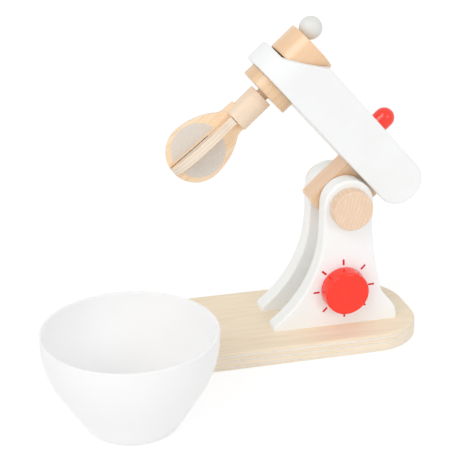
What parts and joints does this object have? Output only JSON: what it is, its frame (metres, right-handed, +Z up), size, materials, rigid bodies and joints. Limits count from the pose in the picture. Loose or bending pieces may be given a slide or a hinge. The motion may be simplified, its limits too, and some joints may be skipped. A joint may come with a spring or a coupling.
{
  "type": "toy stand mixer",
  "caption": "Wooden toy stand mixer with a tilting white arm, a hand-cranked whisk, a red dial and a separate mixing bowl.",
  "frame": {"origin": "centre of the board's underside, on the surface that the mixer stands on", "axes": "+Z up; +X along the board from the whisk to the upright plates; -Y towards the dial side"},
  "size_m": [0.3069, 0.2164, 0.2545],
  "materials": {
    "board_plywood": "clear satin lacquer on birch plywood, plies showing at the edge",
    "white_painted_wood": "smooth satin white paint on wood",
    "pale_hardwood": "clear satin lacquer on pale beech",
    "whisk_plywood": "clear satin lacquer on plywood, with a grey painted disc on each face",
    "red_painted_wood": "satin coral red paint on wood",
    "bowl_plastic": "smooth pale satin plastic",
    "nylon": "plain moulded nylon",
    "zinc_steel": "zinc plated"
  },
  "bodies": {
    "stand": {"base_board": "board_plywood", "dial_side_plate": "white_painted_wood", "far_side_plate": "white_painted_wood", "base_screws": "zinc_steel"},
    "tilting_head": {"head_arm": "white_painted_wood", "pivot_block": "pale_hardwood", "pivot_axle": "pale_hardwood", "near_axle_cap": "pale_hardwood", "far_axle_cap": "pale_hardwood", "near_pivot_washer": "nylon", "far_pivot_washer": "nylon", "arm_dowels": "pale_hardwood", "button_peg": "red_painted_wood", "collar": "pale_hardwood"},
    "crank": {"crank_drum": "pale_hardwood", "drive_shaft": "pale_hardwood", "drum_washer": "nylon", "crank_peg": "pale_hardwood", "crank_ball": "white_painted_wood", "whisk_ferrule": "pale_hardwood", "whisk_plate_a": "whisk_plywood", "whisk_plate_b": "whisk_plywood"},
    "dial": {"dial_knob": "red_painted_wood", "dial_spindle": "pale_hardwood", "dial_washer": "zinc_steel", "dial_screw": "zinc_steel"},
    "bowl": {"mixing_bowl": "bowl_plastic"}
  },
  "joints": [
    {"name": "arm_tilt", "type": "hinge", "parent": "stand", "child": "tilting_head", "pos_m": [0.0572, 0, 0.113], "axis": [0, 1, 0], "range_deg": [-47.76, 12]},
    {"name": "crank_spin", "type": "hinge", "parent": "tilting_head", "child": "crank", "pos_m": [-0.01345, 0, 0.19081], "axis": [0.7403, 0, 0.6722], "continuous": true},
    {"name": "dial_turn", "type": "hinge", "parent": "stand", "child": "dial", "pos_m": [0.0548, -0.0257, 0.0453], "axis": [0, 1, 0], "continuous": true},
    {"name": "bowl_lift", "type": "slide", "parent": "stand", "child": "bowl", "axis": [0, 0, 1], "range_m": [0, 0.15]}
  ]
}
